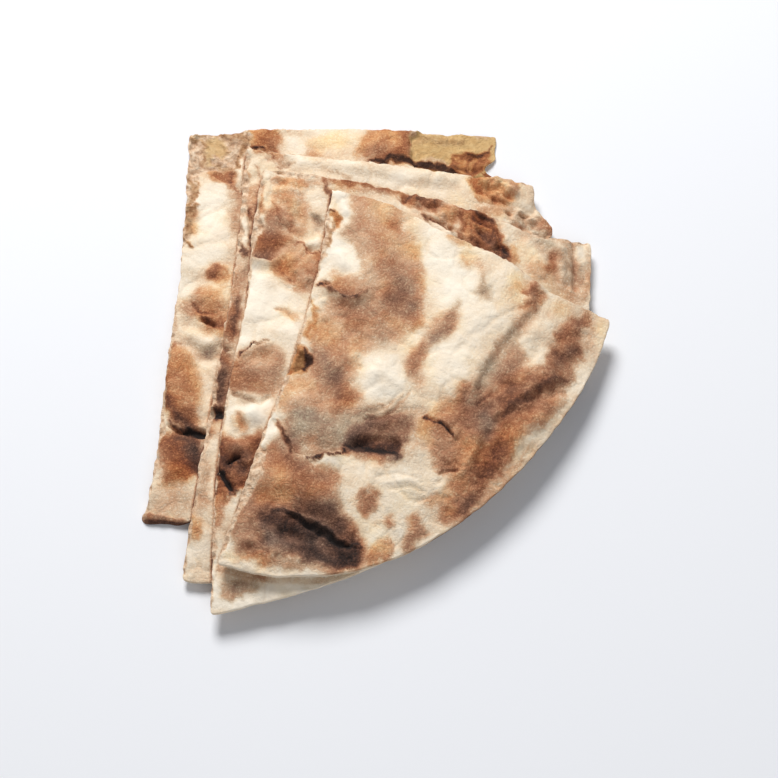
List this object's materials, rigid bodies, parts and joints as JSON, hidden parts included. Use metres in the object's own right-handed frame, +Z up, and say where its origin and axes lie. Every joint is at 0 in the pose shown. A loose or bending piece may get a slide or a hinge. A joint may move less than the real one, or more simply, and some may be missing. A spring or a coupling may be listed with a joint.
{
  "type": "tandoori roti cut in quarters",
  "caption": "Thin blistered flatbread baked as an oval and cut into quarters, stacked in a loose fan with straight cuts, thin round rims and toasted patches showing.",
  "frame": {"origin": "centre of the bounding box of the stack, on the surface that the lowest quarter lies on", "axes": "+Z up; +Y runs from the stack's round lower rim towards the lowest quarter's long upper cut; +X points to the top quarter's far corner"},
  "size_m": [0.1608, 0.191, 0.0215],
  "materials": {
    "bread_bottom": "dry baked crust with brown blisters",
    "bread_third": "dry baked crust with brown blisters",
    "bread_second": "dry baked crust with brown blisters",
    "bread_top": "dry pale crust, toasted brown in patches and charred in its folds"
  },
  "bodies": {
    "root": {"quarter_bottom": "bread_bottom", "quarter_third": "bread_third", "quarter_second": "bread_second", "quarter_top": "bread_top"}
  },
  "joints": []
}
